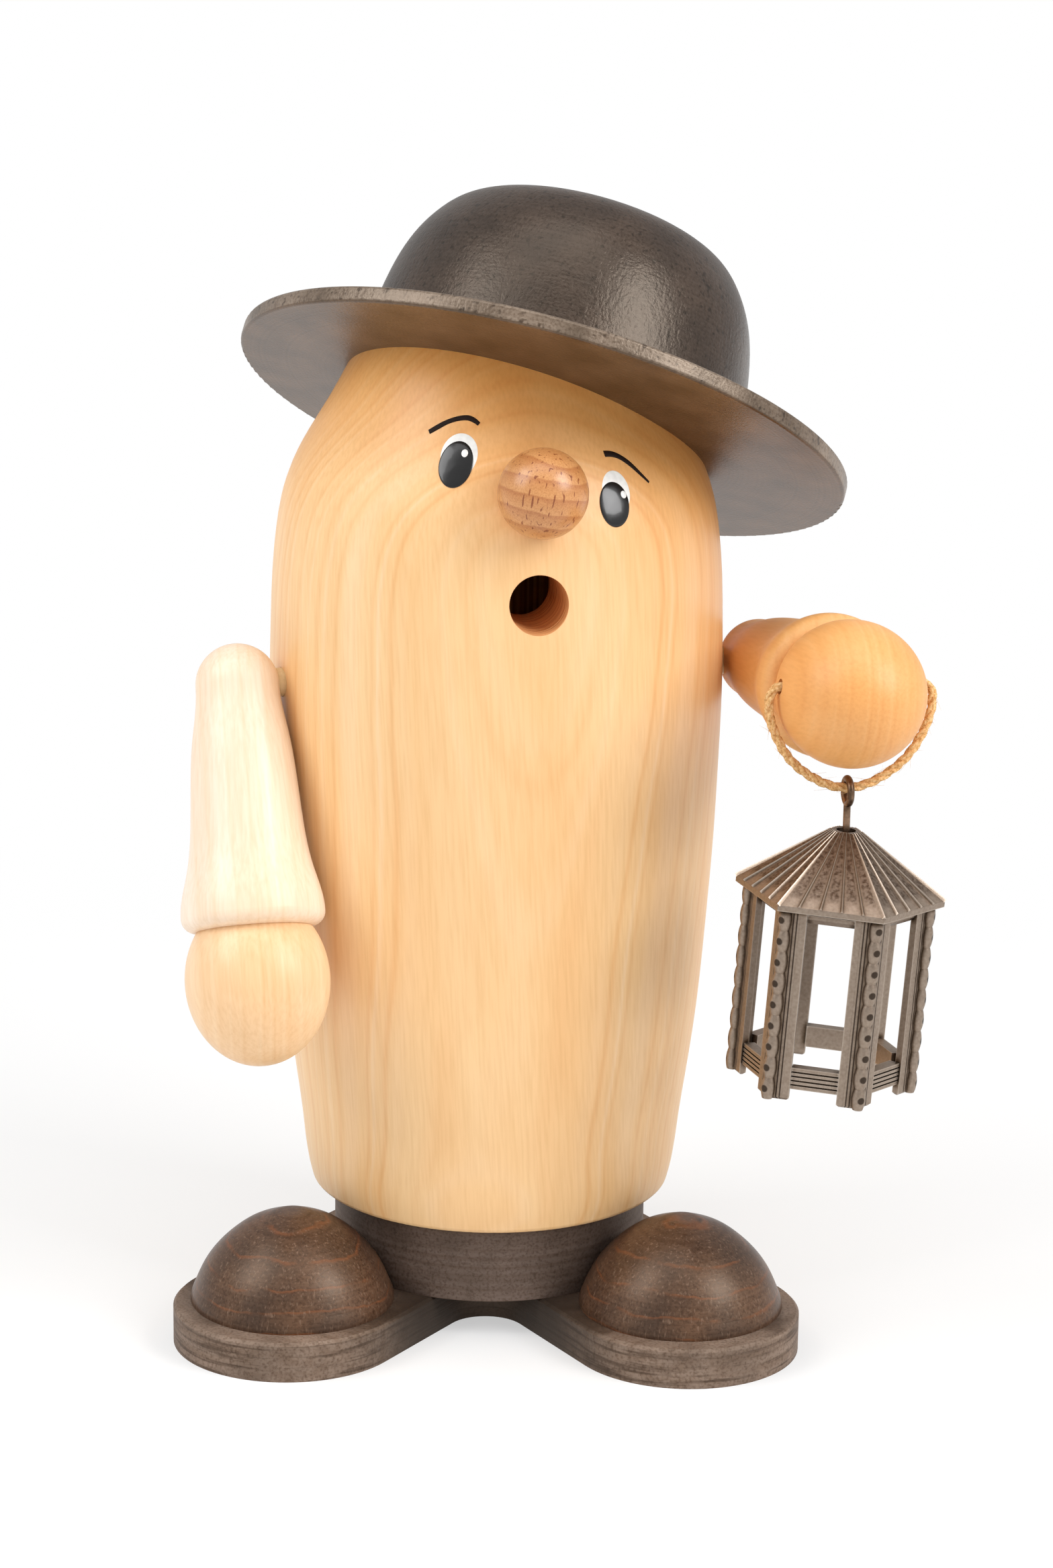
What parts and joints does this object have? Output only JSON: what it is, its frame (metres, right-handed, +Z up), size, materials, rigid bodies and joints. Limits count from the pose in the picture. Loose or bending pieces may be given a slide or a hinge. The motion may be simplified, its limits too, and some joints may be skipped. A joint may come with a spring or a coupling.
{
  "type": "german incense smoker",
  "caption": "Turned wooden incense smoker figure with a lift-off hollow body, swinging arms, a tilted bowler hat and a hanging lantern.",
  "frame": {"origin": "on the axis of the body at the underside of the sole plate", "axes": "+Z up, -Y towards the front between the shoes, +X towards the viewer's right, the lantern's side"},
  "size_m": [0.1306, 0.1106, 0.1984],
  "materials": {
    "sole_wood": "dark stained plywood, satin",
    "shoe_wood": "dark stained turned wood, satin",
    "body_wood": "clear varnished pale lime wood",
    "left_arm_wood": "clear varnished pale lime wood",
    "right_arm_wood": "clear varnished pale lime wood",
    "nose_wood": "varnished red beech",
    "hat_wood": "black-brown stained wood, satin",
    "dowel_wood": "plain beech dowel",
    "dish_brass": "pressed sheet brass",
    "jute": "twisted jute cord",
    "eye_wire": "dark bronzed wire",
    "lantern_pewter": "antiqued pewter-coloured casting"
  },
  "bodies": {
    "base": {"sole_plate": "sole_wood", "pedestal": "sole_wood", "left_shoe_cap": "shoe_wood", "right_shoe_cap": "shoe_wood", "left_shoe_dowel": "dowel_wood", "right_shoe_dowel": "dowel_wood", "left_pedestal_dowel": "dowel_wood", "right_pedestal_dowel": "dowel_wood"},
    "dish": {"incense_dish": "dish_brass"},
    "body": {"body_shell": "body_wood", "nose_ball": "nose_wood", "nose_dowel": "dowel_wood", "hat_brim": "hat_wood", "hat_crown": "hat_wood", "hat_dowel": "dowel_wood", "left_shoulder_dowel": "dowel_wood", "right_shoulder_dowel": "dowel_wood"},
    "left_arm": {"left_sleeve": "left_arm_wood", "left_hand": "left_arm_wood", "left_wrist_dowel": "dowel_wood"},
    "right_arm": {"right_sleeve": "right_arm_wood", "right_hand": "right_arm_wood", "right_wrist_dowel": "dowel_wood"},
    "string": {"lantern_string": "jute"},
    "eye": {"lantern_eye": "eye_wire"},
    "lantern": {"lantern_roof": "lantern_pewter", "lantern_post_1": "lantern_pewter", "lantern_bottom_rail_1": "lantern_pewter", "lantern_top_rail_1": "lantern_pewter", "lantern_post_2": "lantern_pewter", "lantern_bottom_rail_2": "lantern_pewter", "lantern_top_rail_2": "lantern_pewter", "lantern_post_3": "lantern_pewter", "lantern_bottom_rail_3": "lantern_pewter", "lantern_top_rail_3": "lantern_pewter", "lantern_post_4": "lantern_pewter", "lantern_bottom_rail_4": "lantern_pewter", "lantern_top_rail_4": "lantern_pewter", "lantern_post_5": "lantern_pewter", "lantern_bottom_rail_5": "lantern_pewter", "lantern_top_rail_5": "lantern_pewter", "lantern_post_6": "lantern_pewter", "lantern_bottom_rail_6": "lantern_pewter", "lantern_top_rail_6": "lantern_pewter"}
  },
  "joints": [
    {"name": "body_turn", "type": "hinge", "parent": "base", "child": "dish", "pos_m": [0, 0, 0.021], "axis": [0, 0, 1], "continuous": true},
    {"name": "body_lift", "type": "slide", "parent": "dish", "child": "body", "axis": [0, 0, 1], "range_m": [0, 0.06]},
    {"name": "left_arm_swing", "type": "hinge", "parent": "body", "child": "left_arm", "pos_m": [-0.04395, -0.01802, 0.1147], "axis": [-0.9252, -0.3795, 0], "range_deg": [0, 95]},
    {"name": "right_arm_swing", "type": "hinge", "parent": "body", "child": "right_arm", "pos_m": [0.04658, 0.00931, 0.1147], "axis": [-0.9806, -0.1959, 0], "range_deg": [-32, 18]},
    {"name": "string_swing", "type": "hinge", "parent": "right_arm", "child": "string", "pos_m": [0.05904, -0.03953, 0.12132], "axis": [-0.9806, -0.1959, 0], "range_deg": [-18, 32]},
    {"name": "lantern_swing", "type": "hinge", "parent": "string", "child": "eye", "pos_m": [0.05904, -0.03953, 0.10374], "axis": [-0.9806, -0.1959, 0], "range_deg": [-25, 25]},
    {"name": "lantern_spin", "type": "hinge", "parent": "eye", "child": "lantern", "pos_m": [0.05904, -0.03953, 0.10374], "axis": [0, 0, 1], "continuous": true}
  ],
  "couplings": [
    {"joint": "string_swing", "follows": "right_arm_swing", "ratio": -1}
  ]
}
